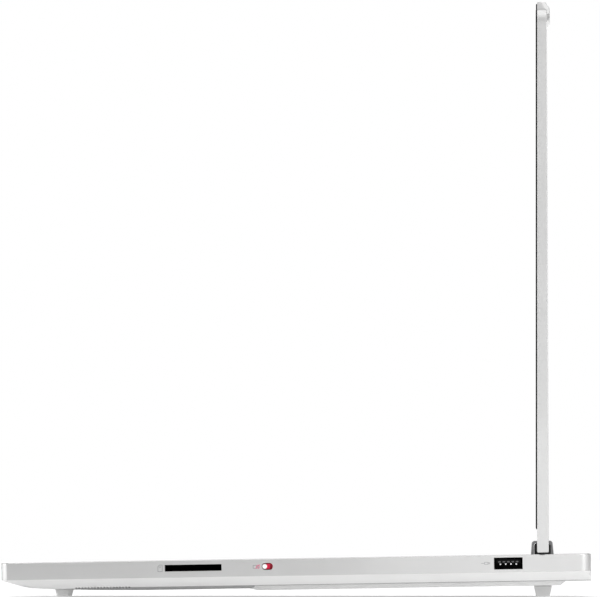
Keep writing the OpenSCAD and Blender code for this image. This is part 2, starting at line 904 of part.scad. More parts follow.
// Front view of the bezel without the camera housing, drawn in by inset
module bezel_outline(inset) {
    x = lid_w / 2 - lid_corner_r;
    z = lid_len - lid_corner_r;
    r = lid_corner_r - inset;
    polygon(concat(
        [[-x - r, bezel_bottom + inset], [x + r, bezel_bottom + inset]],
        arc([x, z], r, 0, 90),
        arc([-x, z], r, 90, 180)));
}

module lid_bezel() {
    foot_x = bump_half_w + 3.5;
    color(trim_black) lid_frame() along_y(lid_front_y, shell_front_y) difference() {
        union() {
            bezel_outline(0);
            polygon([[-foot_x, lid_len - 3], [foot_x, lid_len - 3], [foot_x, lid_len],
                [bump_half_w, bezel_top], [-bump_half_w, bezel_top], [-foot_x, lid_len]]);
        }
        translate([-screen_w / 2, screen_bottom]) square([screen_w, screen_h]);
        translate([0, camera_z]) circle(r = lens_r + 0.15);
    }
}

module display_panel() {
    color(chip_black) lid_frame()
        block([-panel_w / 2, shell_front_y + 0.05, panel_bottom],
            [panel_w / 2, 0.1, panel_bottom + panel_h]);
}

module camera_module() {
    color(board_green) lid_frame() {
        translate([0, 0, camera_z]) {
            block([-34, shell_front_y + 1.2, -2.2], [34, shell_front_y + 1.9, 2.2]);
            block([-4, shell_front_y + 0.5, -2], [4, shell_front_y + 1.3, 2]);
        }
    }
}

module camera_lens() {
    color(trim_black) lid_frame() translate([0, lid_front_y + 0.1, camera_z])
        rotate([-90, 0, 0]) cylinder(r = lens_r, h = 0.8);
}

// Thin rubber seal that runs round the bezel and meets the deck when the lid is shut
module lid_gasket() {
    color(rubber_grey) lid_frame() along_y(lid_front_y - gasket_t, lid_front_y) difference() {
        bezel_outline(0.6);
        bezel_outline(1.9);
    }
}

module antennas() {
    top = panel_bottom + panel_h;
    color(gold) lid_frame() pair()
        block([84, shell_front_y + 0.6, top + 1], [132, shell_front_y + 1, top + 3.4]);
}

module display_cable_lid() {
    color(trim_black) lid_frame() {
        rod_x(1, -lid_notch_x0, lid_cable_x1);
        block([lid_cable_x0, 0.4, 0], [lid_cable_x1, 1, 70]);
        block([lid_cable_x0 - 3, 0.4, 66], [lid_cable_x1 + 3, 1.5, 74]);
    }
}

// ---------- Controls ----------

module shutter_slider() {
    r = 1.2;
    y0 = shutter_port[0] - shutter_port[2] / 2 + 0.2;
    x1 = case_w / 2 - 0.1;
    color(signal_red) deck_frame() translate([0, 0, shutter_port[1]]) {
        translate([0, y0 + r, 0]) rod_x(r, 176.5, x1);
        block([176.5, y0 + r, -r], [x1, y0 + shutter_port[2] - shutter_travel - 0.9, r]);
        block([176.2, y0 - 1, -1.4], [177.4, y0 + 5, 1.4]);
    }
}

module touchpad() {
    color(key_white) deck_frame() {
        translate([0, pad_front_y + pad_d / 2, 0]) prism(-1.1, -0.1) polygon(rounded(pad_w, pad_d, 1.7));
        block([-pad_w / 2 + 5, pad_front_y + 4, -2.2], [pad_w / 2 - 5, pad_front_y + pad_d - 4, -1.1 + eps]);
        translate([0, pad_front_y + pad_d - 1.5, pad_pivot_z]) pair() rod_x(0.7, 30, 52);
    }
}

module power_button() {
    color(steel) deck_frame() translate([0, power_button_y, 0]) {
        prism(-1.85, -0.05) circle(r = power_button_r);
        prism(-2.4, -1.8) circle(r = power_button_r + 0.8);
    }
}

// ---------- Keys ----------

function ones(n) = [for (i = [1:n]) 1];
function sum_to(v, i) = i <= 0 ? 0 : v[i - 1] + sum_to(v, i - 1);
function row_rear(row) = keys_rear_y - (row == 0 ? 0 : function_row_d + (row - 1) * key_unit);
function row_depth(row) = row == 0 ? function_row_d : key_unit;

// Keycap outline; u and w are its start and width in key units, tall is its height in rows
module key_shape(u, w, row, inset, tall = 1) {
    gap = key_gap + 2 * inset;
    size_x = w * key_unit - gap;
    size_y = row_depth(row) + (tall - 1) * key_unit - gap;
    x = -keys_w / 2 + (u + w / 2) * key_unit;
    y = row_rear(row) - (size_y + gap) / 2;
    translate([x, y]) polygon(rounded(size_x, size_y, key_corner_r, 2));
}

module key_run(widths, u, row, inset) {
    for (i = [0:len(widths) - 1]) key_shape(u + sum_to(widths, i), widths[i], row, inset);
}

module function_shapes(inset) {
    key_run(ones(main_units), 0, 0, inset);
    key_run(pad_unit * ones(pad_columns), main_units, 0, inset);
}

module number_shapes(inset) {
    key_run(concat(ones(13), [2]), 0, 1, inset);
}

module upper_row_shapes(inset) {
    key_run(concat([1.5], ones(12), [1.5]), 0, 2, inset);
}

module home_row_shapes(inset) {
    key_run(concat([1.75], ones(11), [2.25]), 0, 3, inset);
}

module lower_row_shapes(inset) {
    key_run(concat([2.25], ones(10), [1.75]), 0, 4, inset);
}

module bottom_row_shapes(inset) {
    key_run([1.25, 1, 1, 1.25], 0, 5, inset);
    key_run([1.25, 1], 9.75, 5, inset);
}

module space_shape(inset) {
    key_shape(4.5, 5.25, 5, inset);
}

module arrow_shapes(inset) {
    key_shape(14, 1, 4, inset);
    key_run(ones(3), 12, 5, inset);
}

module numpad_shapes(inset) {
    u = main_units;
    key_run(pad_unit * ones(4), u, 1, inset);
    for (row = [2:4]) key_run(pad_unit * ones(3), u, row, inset);
    key_shape(u + 3 * pad_unit, pad_unit, 2, inset, 2);
    key_shape(u + 3 * pad_unit, pad_unit, 4, inset, 2);
    key_run(pad_unit * [2, 1], u, 5, inset);
}

module all_keys(inset) {
    function_shapes(inset);
    number_shapes(inset);
    upper_row_shapes(inset);
    home_row_shapes(inset);
    lower_row_shapes(inset);
    bottom_row_shapes(inset);
    space_shape(inset);
    arrow_shapes(inset);
    numpad_shapes(inset);
}

module keycaps() {
    color(key_white) deck_frame() prism(key_top_z - key_h, key_top_z) children();
}

module function_keys() {
    keycaps() function_shapes(0);
}

module number_keys() {
    keycaps() number_shapes(0);
}

module upper_row_keys() {
    keycaps() upper_row_shapes(0);
}

module home_row_keys() {
    keycaps() home_row_shapes(0);
}

module lower_row_keys() {
    keycaps() lower_row_shapes(0);
}

module bottom_row_keys() {
    keycaps() bottom_row_shapes(0);
}

module space_bar() {
    keycaps() space_shape(0);
}

module arrow_keys() {
    keycaps() arrow_shapes(0);
}

module numpad_keys() {
    keycaps() numpad_shapes(0);
}

top_case();
bottom_cover();
rear_grille();
intake_mesh();
motherboard();
processor();
graphics_chip();
cooling_plate();
heat_pipes();
heatsinks();
fan_housing_left();
fan_housing_right();
battery_pack();
memory_modules();
storage_drives();
wireless_card();
speaker_left();
speaker_right();
usb_socket();
usb_tongue();
card_reader();
usb_c_sockets();
hdmi_socket();
audio_jack();
power_inlet();
side_board();
keyboard_plate();
front_foot();
rear_foot();
case_screws();
hinge_bracket_left();
hinge_bracket_right();
hinge_covers();
power_board();
display_cable();
lid_back_cover();
lid_bezel();
display_panel();
camera_module();
camera_lens();
hinge_arm_left();
hinge_arm_right();
lid_gasket();
antennas();
arm_screws();
display_cable_lid();
fan_rotor_left();
fan_rotor_right();
shutter_slider();
touchpad();
power_button();
function_keys();
number_keys();
upper_row_keys();
home_row_keys();
lower_row_keys();
bottom_row_keys();
space_bar();
arrow_keys();
numpad_keys();
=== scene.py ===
import json
import math

import bmesh
import bpy
import numpy as np
from mathutils import Matrix, Vector


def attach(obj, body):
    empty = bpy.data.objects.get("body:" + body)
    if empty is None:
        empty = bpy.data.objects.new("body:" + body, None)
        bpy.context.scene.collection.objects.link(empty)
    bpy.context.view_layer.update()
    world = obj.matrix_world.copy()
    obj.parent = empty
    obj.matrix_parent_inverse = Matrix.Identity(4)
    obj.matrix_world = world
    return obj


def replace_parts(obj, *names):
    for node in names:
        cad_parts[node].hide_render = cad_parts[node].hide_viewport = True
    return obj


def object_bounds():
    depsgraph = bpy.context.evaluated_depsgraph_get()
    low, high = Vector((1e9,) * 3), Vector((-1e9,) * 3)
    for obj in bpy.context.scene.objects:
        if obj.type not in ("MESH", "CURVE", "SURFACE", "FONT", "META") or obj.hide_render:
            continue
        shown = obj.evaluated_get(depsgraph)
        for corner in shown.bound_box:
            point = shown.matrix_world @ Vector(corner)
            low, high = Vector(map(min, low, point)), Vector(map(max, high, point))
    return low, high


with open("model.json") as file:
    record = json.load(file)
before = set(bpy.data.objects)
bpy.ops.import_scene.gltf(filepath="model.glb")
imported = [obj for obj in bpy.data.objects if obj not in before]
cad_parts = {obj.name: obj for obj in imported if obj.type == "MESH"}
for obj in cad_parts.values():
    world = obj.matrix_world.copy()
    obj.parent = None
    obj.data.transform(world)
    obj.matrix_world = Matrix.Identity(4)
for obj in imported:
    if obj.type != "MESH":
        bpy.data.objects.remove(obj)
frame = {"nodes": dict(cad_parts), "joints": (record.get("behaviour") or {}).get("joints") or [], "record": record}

cad_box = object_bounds()
MM = 0.001
nodes = frame["nodes"]
joints = {j["name"]: j for j in frame["joints"]}
slots = {s["node"]: s["material_slot"] for s in frame["record"]["subparts"]}
body_of = {n: b for b, ns in frame["record"]["behaviour"]["bodies"].items() for n in ns}


# ---------- Frames ----------
# Millimetres in the deck frame: z = 0 is the deck, y runs from front to rear.
def deck_matrix():
    up = -Vector(joints["space_press"]["axis"]).normalized()
    rear = Vector(joints["shutter_slide"]["axis"]).normalized()
    along = [v.co.dot(rear) for v in nodes["top_case"].data.vertices]
    high = max(v.co.dot(up) for v in nodes["top_case"].data.vertices)
    m = Matrix((Vector((1, 0, 0)), rear, up)).transposed().to_4x4()
    m.translation = rear * (min(along) + max(along)) / 2 + up * high
    return m @ Matrix.Scale(MM, 4)


DECK = deck_matrix()
UNDECK = DECK.inverted()
# Millimetres in the lid frame: the origin is the hinge axis, z runs up the lid.
LID = Matrix.Translation(joints["lid_hinge"]["pos_m"]) @ Matrix.Scale(MM, 4)
UNLID = LID.inverted()


def local_box(node, inverse):
    """Lowest and highest corner of a CAD node, in millimetres of a local frame."""
    co = np.array([inverse @ v.co for v in nodes[node].data.vertices])
    return Vector(co.min(0)), Vector(co.max(0))


def solids(node, inverse):
    """Boxes of the separate solids of a CAD node in a local frame, from rear to front, then by x."""
    bm = bmesh.new()
    bm.from_mesh(nodes[node].data)
    bmesh.ops.remove_doubles(bm, verts=bm.verts, dist=2e-6)
    found, seen = [], set()
    for start in bm.verts:
        if start in seen:
            continue
        group, stack = [], [start]
        seen.add(start)
        while stack:
            v = stack.pop()
            group.append(inverse @ v.co)
            for e in v.link_edges:
                w = e.other_vert(v)
                if w not in seen:
                    seen.add(w)
                    stack.append(w)
        co = np.array(group)
        found.append((Vector(co.min(0)), Vector(co.max(0))))
    bm.free()
    return sorted(found, key=lambda b: (-round(b[1].y), b[0].x))


# ---------- Materials ----------
def rgb(r, g=None, b=None):
    g = r if g is None else g
    b = r if b is None else b
    return (r, g, b, 1.0)


class Graph:
    """Small helper round one material's nodes."""

    def __init__(self, name):
        self.mat = bpy.data.materials.new(name)
        self.mat.use_nodes = True
        self.tree = self.mat.node_tree
        self.bsdf = self.tree.nodes["Principled BSDF"]
        self.coord = self.add("ShaderNodeTexCoord").outputs["Object"]

    def add(self, kind, **sockets):
        node = self.tree.nodes.new(kind)
        for key, value in sockets.items():
            self.put(node, key, value)
        return node

    def put(self, node, key, value):
        """Links or sets an input, named as in Blender with _ for a space, or _2 for the third."""
        socket = node.inputs[int(key[1:])] if key[1:].isdigit() else node.inputs[key.replace("_", " ")]
        if isinstance(value, bpy.types.NodeSocket):
            self.tree.links.new(value, socket)
        else:
            socket.default_value = value

    def stretch(self, scale):
        """Object coordinates scaled per axis."""
        node = self.add("ShaderNodeMapping", Vector=self.coord)
        node.inputs["Scale"].default_value = scale
        return node.outputs["Vector"]

    def noise(self, scale, detail=3.0, vector=None):
        return self.add("ShaderNodeTexNoise", Vector=vector or self.coord, Scale=scale,
                        Detail=detail).outputs["Fac"]

    def span(self, value, low, high, lo_in=0.3, hi_in=0.7):
        """Value mapped from [lo_in, hi_in] to [low, high]."""
        node = self.add("ShaderNodeMapRange", Value=value)
        for key, x in (("From Min", lo_in), ("From Max", hi_in), ("To Min", low), ("To Max", high)):
            node.inputs[key].default_value = x
        return node.outputs["Result"]

    def math(self, kind, a, b):
        node = self.add("ShaderNodeMath", _0=a, _1=b)
        node.operation = kind
        return node.outputs[0]

    def mix(self, fac, a, b):
        node = self.add("ShaderNodeMix")
        node.data_type = "RGBA"
        for key, value in (("_0", fac), ("_6", a), ("_7", b)):
            self.put(node, key, value)
        return node.outputs[2]

    def bump(self, height, strength, distance):
        node = self.add("ShaderNodeBump", Height=height, Strength=strength, Distance=distance)
        self.tree.links.new(node.outputs["Normal"], self.bsdf.inputs["Normal"])

    def set(self, **values):
        for key, value in values.items():
            self.put(self.bsdf, key, value)


def surface(name, low, high, rough, grain, bump=0.1, depth=0.00002, metal=0.0, vector=None, **more):
    """Two close colours in soft patches and fine grain, with roughness and bump from the same grain."""
    g = Graph(name)
    fine = g.noise(grain, 4.0, g.stretch(vector) if vector else None)
    soft = g.span(g.noise(60.0, 2.0), 0.0, 0.6, 0.25, 0.75)
    g.set(Base_Color=g.mix(g.math("ADD", soft, g.math("MULTIPLY", fine, 0.4)), rgb(*low), rgb(*high)))
    g.set(Metallic=metal, Roughness=g.span(fine, rough[0], rough[1]), **more)
    g.bump(fine, bump, depth)
    return g


paint = surface("satin_paint", (0.485, 0.485, 0.483), (0.525, 0.525, 0.523), (0.30, 0.38), 3200.0,
                0.10, 0.00001, metal=0.2, Coat_Weight=0.7, Coat_Roughness=0.14)
deck_paint = surface("deck_paint", (0.53, 0.53, 0.528), (0.57, 0.57, 0.568), (0.30, 0.38), 3200.0,
                     0.10, 0.00001, metal=0.45, Coat_Weight=0.7, Coat_Roughness=0.14)
# A lighter copy of the case paint for the bottom cover, a painted highlight for the light thrown up from the floor
painted_light_under_paint = surface("painted_light_under_paint", (0.65, 0.65, 0.647), (0.69, 0.69, 0.687), (0.36, 0.44), 3200.0, 0.12,
                      0.00001)
# Darker grey as painted shade on the bottom cover: the strips facing down in front, a thin line on the slopes and
# the speaker throats
painted_shade_paint = surface("underside_painted_shade", (0.27, 0.27, 0.272), (0.33, 0.33, 0.332), (0.42, 0.55), 3200.0, 0.16)
trim = surface("matt_trim", (0.012, 0.012, 0.013), (0.028, 0.028, 0.03), (0.5, 0.68), 5200.0, 0.3)
bezel_black = surface("bezel_black", (0.003, 0.003, 0.0035), (0.006, 0.006, 0.0065), (0.5, 0.6), 4200.0, 0.08,
                      Specular_IOR_Level=0.12)
screen = surface("screen_glass", (0.0045, 0.005, 0.006), (0.008, 0.008, 0.0095), (0.14, 0.2), 900.0, 0.02,
                 Coat_Weight=0.35, Coat_Roughness=0.06)
grey_cover = surface("grey_cover", (0.20, 0.20, 0.205), (0.25, 0.25, 0.255), (0.42, 0.56), 4800.0, 0.25)
foot_rubber = surface("foot_rubber", (0.92, 0.92, 0.915), (0.95, 0.95, 0.945), (0.68, 0.84), 3000.0, 0.4,
                      0.00004)
dark_rubber = surface("dark_rubber", (0.003, 0.003, 0.003), (0.006, 0.006, 0.006), (0.7, 0.85), 3000.0,
                      0.4, 0.00004, Specular_IOR_Level=0.15)
keycap = surface("keycap_plastic", (0.74, 0.74, 0.735), (0.79, 0.79, 0.785), (0.48, 0.6), 4200.0, 0.22)
deep_black = surface("socket_black", (0.002, 0.002, 0.0022), (0.005, 0.005, 0.0055), (0.6, 0.75), 3000.0, 0.2,
                     Specular_IOR_Level=0.15)
tooth_grey = surface("tooth_grey", (0.07, 0.07, 0.072), (0.11, 0.11, 0.113), (0.5, 0.62), 3000.0, 0.1)
# The red glows a little, though it is no lamp: a painted glow on the shutter's red block
glow_red = surface("red_painted_glow", (0.55, 0.010, 0.045), (0.66, 0.018, 0.07), (0.45, 0.55), 3200.0, 0.1,
                   Emission_Color=rgb(0.75, 0.02, 0.08), Emission_Strength=0.45)
legend = surface("legend_ink", (0.15, 0.15, 0.155), (0.20, 0.20, 0.205), (0.5, 0.62), 3000.0, 0.1)
pad_skin = surface("pad_skin", (0.70, 0.70, 0.70), (0.74, 0.74, 0.74), (0.24, 0.32), 2200.0, 0.04)
steel = surface("plated_steel", (0.56, 0.565, 0.58), (0.68, 0.685, 0.70), (0.22, 0.36), 2600.0, 0.12,
                metal=1.0, vector=(0.15, 1.0, 1.0))
dark_steel = surface("black_steel", (0.014, 0.014, 0.015), (0.035, 0.035, 0.037), (0.5, 0.66), 2600.0, 0.15)
fins = surface("fin_metal", (0.60, 0.61, 0.63), (0.70, 0.71, 0.73), (0.28, 0.42), 2000.0, 0.1, metal=1.0)
copper = surface("copper", (0.64, 0.31, 0.17), (0.80, 0.44, 0.27), (0.24, 0.4), 1400.0, 0.15, metal=1.0,
                 vector=(1.0, 0.2, 1.0))
board = surface("solder_mask", (0.008, 0.045, 0.028), (0.018, 0.085, 0.05), (0.3, 0.44), 1300.0, 0.25)
chip = surface("chip_black", (0.014, 0.014, 0.015), (0.03, 0.03, 0.032), (0.42, 0.6), 2600.0, 0.2)
tape = surface("woven_tape", (0.012, 0.012, 0.013), (0.035, 0.035, 0.038), (0.6, 0.75), 1800.0, 0.5)
film = surface("antenna_film", (0.55, 0.36, 0.14), (0.70, 0.48, 0.22), (0.24, 0.36), 900.0, 0.05, metal=1.0)
lens_glass = surface("lens_glass", (0.004, 0.004, 0.006), (0.010, 0.010, 0.016), (0.05, 0.1), 900.0, 0.01,
                     Coat_Weight=1.0, Coat_Roughness=0.03)
red = surface("signal_red", (0.50, 0.008, 0.035), (0.60, 0.016, 0.055), (0.4, 0.52), 3200.0, 0.12)
ink = surface("side_print", (0.24, 0.24, 0.25), (0.30, 0.30, 0.31), (0.5, 0.6), 3000.0, 0.05)
pink_ink = surface("pink_print", (0.62, 0.10, 0.20), (0.70, 0.14, 0.25), (0.5, 0.6), 3000.0, 0.05)
contact = surface("contact_bright", (0.75, 0.75, 0.76), (0.88, 0.88, 0.89), (0.2, 0.32), 2400.0, 0.08,
                  metal=1.0)
knob_white = surface("knob_white", (0.80, 0.80, 0.80), (0.86, 0.86, 0.86), (0.36, 0.46), 3800.0, 0.12)

BY_SLOT = {
    "case_paint": paint, "trim_black": trim, "screen_black": screen, "board": board, "chip": chip,
    "copper": copper, "bare_steel": steel, "dark_steel": dark_steel, "fin_metal": fins,
    "hinge_grey": grey_cover, "foot_rubber": foot_rubber, "bumper_rubber": dark_rubber,
    "keycap": keycap, "touch_glass": pad_skin, "switch_red": red, "cable": tape,
    "battery_wrap": chip, "antenna_film": film, "lens": lens_glass,
}
for name, obj in nodes.items():
    obj.data.materials.clear()
    obj.data.materials.append(BY_SLOT[slots[name]].mat)
nodes["lid_bezel"].data.materials[0] = bezel_black.mat
# The bottom cover takes the lighter paint, painted light from below
nodes["bottom_cover"].data.materials[0] = painted_light_under_paint.mat


# ---------- Mesh helpers ----------
def piece(name, bm, body, slot, *graphs, angle=32.0):
    """Turns a bmesh in world metres into a shaded piece that rides on a body."""
    me = bpy.data.meshes.new(name)
    bmesh.ops.recalc_face_normals(bm, faces=bm.faces)
    for f in bm.faces:
        f.smooth = True
    bm.to_mesh(me)
    bm.free()
    me.set_sharp_from_angle(angle=math.radians(angle))
    for g in graphs:
        me.materials.append(g.mat)
    ob = bpy.data.objects.new(name, me)
    bpy.context.scene.collection.objects.link(ob)
    mod = ob.modifiers.new("weighted", "WEIGHTED_NORMAL")
    mod.keep_sharp = True
    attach(ob, body)
    return ob


def soften(bm, width, chosen=None, segments=2, sharp=28.0):
    """Rounds the chosen sharp edges by a width in the mesh's own unit."""
    limit = math.radians(sharp)
    edges = [e for e in bm.edges if len(e.link_faces) == 2 and e.calc_face_angle(0.0) > limit
             and (chosen is None or chosen(e))]
    if edges:
        bmesh.ops.bevel(bm, geom=edges, offset=width, offset_type="OFFSET", segments=segments, profile=0.5,
                        affect="EDGES", clamp_overlap=False, loop_slide=True, material=-1)


def refined(node, inverse, steps, graphs=None, sharp=28.0):
    """Replaces a CAD node by a copy with softened edges. Each step is (width in mm, test of a local
    point or None, segments); an edge is rounded if both its ends pass the test."""
    bm = bmesh.new()
    bm.from_mesh(nodes[node].data)
    bmesh.ops.remove_doubles(bm, verts=bm.verts, dist=2e-6)
    bm.transform(inverse)
    bmesh.ops.dissolve_limit(bm, angle_limit=math.radians(0.6), use_dissolve_boundaries=False,
                             verts=bm.verts, edges=bm.edges, delimit=set())
    for width, test, segments in steps:
        chosen = (lambda e: all(test(v.co) for v in e.verts)) if test else None
        soften(bm, width, chosen, segments, sharp)
    bm.transform(inverse.inverted())
    ob = piece(node + "_skin", bm, body_of[node], slots[node], *(graphs or [BY_SLOT[slots[node]]]))
    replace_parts(ob, node)
    return ob


def rounded(cx, cy, w, d, r, n=3):
    """Corner points of a rounded rectangle, counter-clockwise."""
    pts = []
    for sx, sy, a0 in ((1, 1, 0), (-1, 1, 90), (-1, -1, 180), (1, -1, 270)):
        for i in range(n + 1):
            a = math.radians(a0 + 90 * i / n)
            pts.append((cx + sx * (w / 2 - r) + r * math.cos(a), cy + sy * (d / 2 - r) + r * math.sin(a)))
    return pts


def loft(bm, rings, material=0, caps=True):
    """Closed skin through rings of equally many 3-D points, with flat caps."""
    rows = [[bm.verts.new(p) for p in ring] for ring in rings]
    faces = []
    for a, b in zip(rows, rows[1:]):
        for i in range(len(a)):
            j = (i + 1) % len(a)
            faces.append(bm.faces.new((a[i], a[j], b[j], b[i])))
    if caps:
        faces.append(bm.faces.new(rows[0][::-1]))
        faces.append(bm.faces.new(rows[-1]))
    for f in faces:
        f.material_index = material


def add_block(bm, lo, hi, r, material=0):
    """Box with rounded edges."""
    part = bmesh.new()
    size = [h - l for l, h in zip(lo, hi)]
    mid = [(h + l) / 2 for l, h in zip(lo, hi)]
    bmesh.ops.create_cube(part, size=1.0, matrix=Matrix.Translation(mid) @ Matrix.Diagonal((*size, 1.0)))
    soften(part, r)
    merge(bm, part, material)


def merge(bm, part, material=0):
    """Adds a copy of part's mesh to bm and frees part."""
    made = {v: bm.verts.new(v.co) for v in part.verts}
    for f in part.faces:
        bm.faces.new([made[v] for v in f.verts]).material_index = material
    part.free()


def turned(bm, profile, place, n=32, material=0):
    """Solid of revolution: profile is [(radius, height)], place maps (x, y, z) to the mesh's frame."""
    angles = [2 * math.pi * i / n for i in range(n)]
    rings = [[place @ Vector((r * math.cos(a), r * math.sin(a), h)) for a in angles] for r, h in profile]
    loft(bm, rings, material)


def stroke(bm, points, width, place, thick, closed=False, material=0):
    """Raised line of even width along points in the plane of place."""
    n = len(points)
    rows = []
    for i, p in enumerate(points):
        ahead = Vector(points[(i + 1) % n] if closed or i < n - 1 else p)
        behind = Vector(points[i - 1] if closed or i else p)
        ways = [w.normalized() for w in (Vector(p) - behind, ahead - Vector(p)) if w.length > 1e-9]
        way = sum(ways, Vector((0, 0))).normalized()
        side = Vector((-way.y, way.x)) * width / 2 / max(0.4, way.dot(ways[0]))
        corners = [(Vector(p) + side, 0.0), (Vector(p) - side, 0.0), (Vector(p) - side, thick),
                   (Vector(p) + side, thick)]
        rows.append([place @ Vector((q.x, q.y, h)) for q, h in corners])
    loft(bm, rows + rows[:1] if closed else rows, material, caps=not closed)


glyph_cache = {}


def glyphs(text, size, thick):
    """Mesh data of a flat line of text with a small thickness, centred on the origin, as (points, faces)."""
    key = (text, size)
    if key not in glyph_cache:
        curve = bpy.data.curves.new("legend_curve", "FONT")
        curve.body = text
        curve.size = size
        curve.align_x = "CENTER"
        curve.align_y = "CENTER"
        curve.extrude = thick / 2
        curve.resolution_u = 3
        ob = bpy.data.objects.new("legend_text", curve)
        bpy.context.scene.collection.objects.link(ob)
        bpy.context.view_layer.update()
        me = bpy.data.meshes.new_from_object(ob.evaluated_get(bpy.context.evaluated_depsgraph_get()))
        glyph_cache[key] = ([v.co.copy() for v in me.vertices], [list(p.vertices) for p in me.polygons])
        bpy.data.objects.remove(ob)
        bpy.data.curves.remove(curve)
        bpy.data.meshes.remove(me)
    return glyph_cache[key]


# ---------- Camera and light ----------
# A far camera level with the base, aimed at the right side; VIEW is the picture's height there
VIEW = 0.2706512
SIDE_X = cad_box[1].x
aim = Vector((SIDE_X, 0.00171912, 0.127832))
cam_data = bpy.data.cameras.new("camera")
cam_data.lens = 1650.0
cam_data.sensor_width = 36.0
cam_data.clip_end = 60.0
cam = bpy.data.objects.new("camera", cam_data)
cam.location = Vector((SIDE_X + VIEW * cam_data.lens / cam_data.sensor_width, 0.1055, 0.0205))
cam.rotation_mode = "QUATERNION"
cam.rotation_quaternion = (aim - cam.location).to_track_quat("-Z", "Y")
bpy.context.scene.collection.objects.link(cam)
bpy.context.scene.camera = cam
bpy.context.scene.view_settings.view_transform = "Standard"


def studio_world(lobes):
    """Soft light from above and from wide lamps round the object, each a smooth lobe of the sky. The
    sky is plain white where it is seen directly."""
    world = bpy.data.worlds.new("studio")
    bpy.context.scene.world = world
    world.use_nodes = True
    tree = world.node_tree

    def make(kind, *values, op=None):
        node = tree.nodes.new(kind)
        if op:
            node.operation = op
        for i, value in enumerate(values):
            if isinstance(value, bpy.types.NodeSocket):
                tree.links.new(value, node.inputs[i])
            elif value is not None:
                node.inputs[i].default_value = value
        return node

    way = make("ShaderNodeTexCoord").outputs["Generated"]

    def lobe(azimuth, elevation, outer, inner, level):
        a, e = math.radians(azimuth), math.radians(elevation)
        axis = (math.cos(a) * math.cos(e), math.sin(a) * math.cos(e), math.sin(e))
        dot = make("ShaderNodeVectorMath", way, axis, op="DOT_PRODUCT").outputs["Value"]
        edges = [math.cos(math.radians(angle)) for angle in (outer, inner)]
        ramp = make("ShaderNodeMapRange", dot, *edges, 0.0, level)
        ramp.interpolation_type = "SMOOTHSTEP"
        return ramp.outputs["Result"]

    total = 0.0
    for values in lobes:
        total = make("ShaderNodeMath", total, lobe(*values), op="ADD").outputs[0]
    lit = tree.nodes["Background"]
    lit.inputs["Color"].default_value = rgb(1.0)
    tree.links.new(total, lit.inputs["Strength"])
    seen = make("ShaderNodeBackground", rgb(1.0), 1.0)
    pick = make("ShaderNodeMixShader", make("ShaderNodeLightPath").outputs["Is Camera Ray"],
                lit.outputs[0], seen.outputs[0])
    tree.links.new(pick.outputs[0], tree.nodes["World Output"].inputs["Surface"])


def area(name, place, target, size, power):
    """Rectangular lamp that the camera doesn't see."""
    data = bpy.data.lights.new(name, "AREA")
    data.shape = "RECTANGLE"
    data.size, data.size_y = size
    data.energy = power
    ob = bpy.data.objects.new(name, data)
    ob.location = place
    ob.rotation_mode = "QUATERNION"
    ob.rotation_quaternion = (Vector(target) - Vector(place)).to_track_quat("-Z", "Y")
    ob.visible_camera = False
    bpy.context.scene.collection.objects.link(ob)


# Azimuth from +X towards +Y, elevation, outer and inner angle, level: above, front, rear and far side
studio_world([(0, 90, 52, 15, 2.2), (-66, 4, 42, 32, 3.4), (66, 4, 40, 20, 0.6), (180, 10, 50, 20, 0.3)])
area("low_panel", (0.30, 0.22, 0.04), (0.18, 0.22, 0.04), (0.38, 0.08), 0.048)
area("tall_panel", (0.45, 0.40, 0.22), (0.18, 0.11, 0.16), (0.25, 0.30), 0.92)

floor_mesh = bpy.data.meshes.new("floor")
floor_mesh.from_pydata([(-40, -40, 0), (40, -40, 0), (40, 40, 0), (-40, 40, 0)], [], [(0, 1, 2, 3)])
floor = bpy.data.objects.new("floor", floor_mesh)
floor.location.z = -0.00002
bpy.context.scene.collection.objects.link(floor)
floor_look = Graph("pale_floor")
floor_look.set(Base_Color=floor_look.mix(floor_look.noise(3.0), rgb(0.80), rgb(0.82)), Roughness=0.85,
               Specular_IOR_Level=0.0, Emission_Color=rgb(1.0), Emission_Strength=0.24)
floor_mesh.materials.append(floor_look.mat)


# ---------- Case shells ----------
HX, HY, DECK_TOP = local_box("top_case", UNDECK)[1]
SEAM = local_box("bottom_cover", UNDECK)[1].z
TOUCH = 0.03
CORNER_R = 5.0
PORT_BAND = (-7.2, -0.7)
# Front and rear of the raised intake area's sides, and the ends of the speaker rows
INTAKE_Y = -18.5
INTAKE_END = 116.0
SPEAKERS = (-98.0, -73.0)
# Upper edge of the thin line of painted shade on the sloping sides, and the Z of a normal where the slope ends
LINE_Z = -11.52
FOLD = -0.86


def on_wall(p):
    """True for a point on the outer side wall of the base, corners included."""
    if abs(p.x) > HX - TOUCH or abs(p.y) > HY - TOUCH:
        return True
    dx, dy = abs(p.x) - HX + CORNER_R, abs(p.y) - HY + CORNER_R
    return dx > 0 and dy > 0 and math.hypot(dx, dy) > CORNER_R - 0.5


def gets_painted_shade(place, up):
    """True for a face of the bottom cover that takes painted shade: a side strip in front of the intake area,
    the thin line on the sloping side or the throat of a speaker opening; up is the Z of the face's normal."""
    inward = HX - abs(place.x)
    strip = up < FOLD and place.y < INTAKE_Y and 4 < inward < 14.5
    sloping = FOLD < up < -0.7 and SPEAKERS[0] < place.y < INTAKE_END and 5 < inward < 7
    line = sloping and -11.95 < place.z < LINE_Z
    throat = abs(up) < 0.2 and SPEAKERS[0] < place.y < SPEAKERS[1] and 5.1 < inward < 6.6
    return strip or line or throat


refined("top_case", UNDECK, [
    (0.5, lambda p: p.z > DECK_TOP - TOUCH and on_wall(p), 3),
    (0.08, lambda p: abs(p.z - SEAM) < TOUCH and on_wall(p), 2),
    (0.16, lambda p: abs(p.x) > HX - TOUCH and PORT_BAND[0] < p.z < PORT_BAND[1], 2),
    (0.22, lambda p: p.z > DECK_TOP - TOUCH and not on_wall(p), 2),
], [deck_paint])
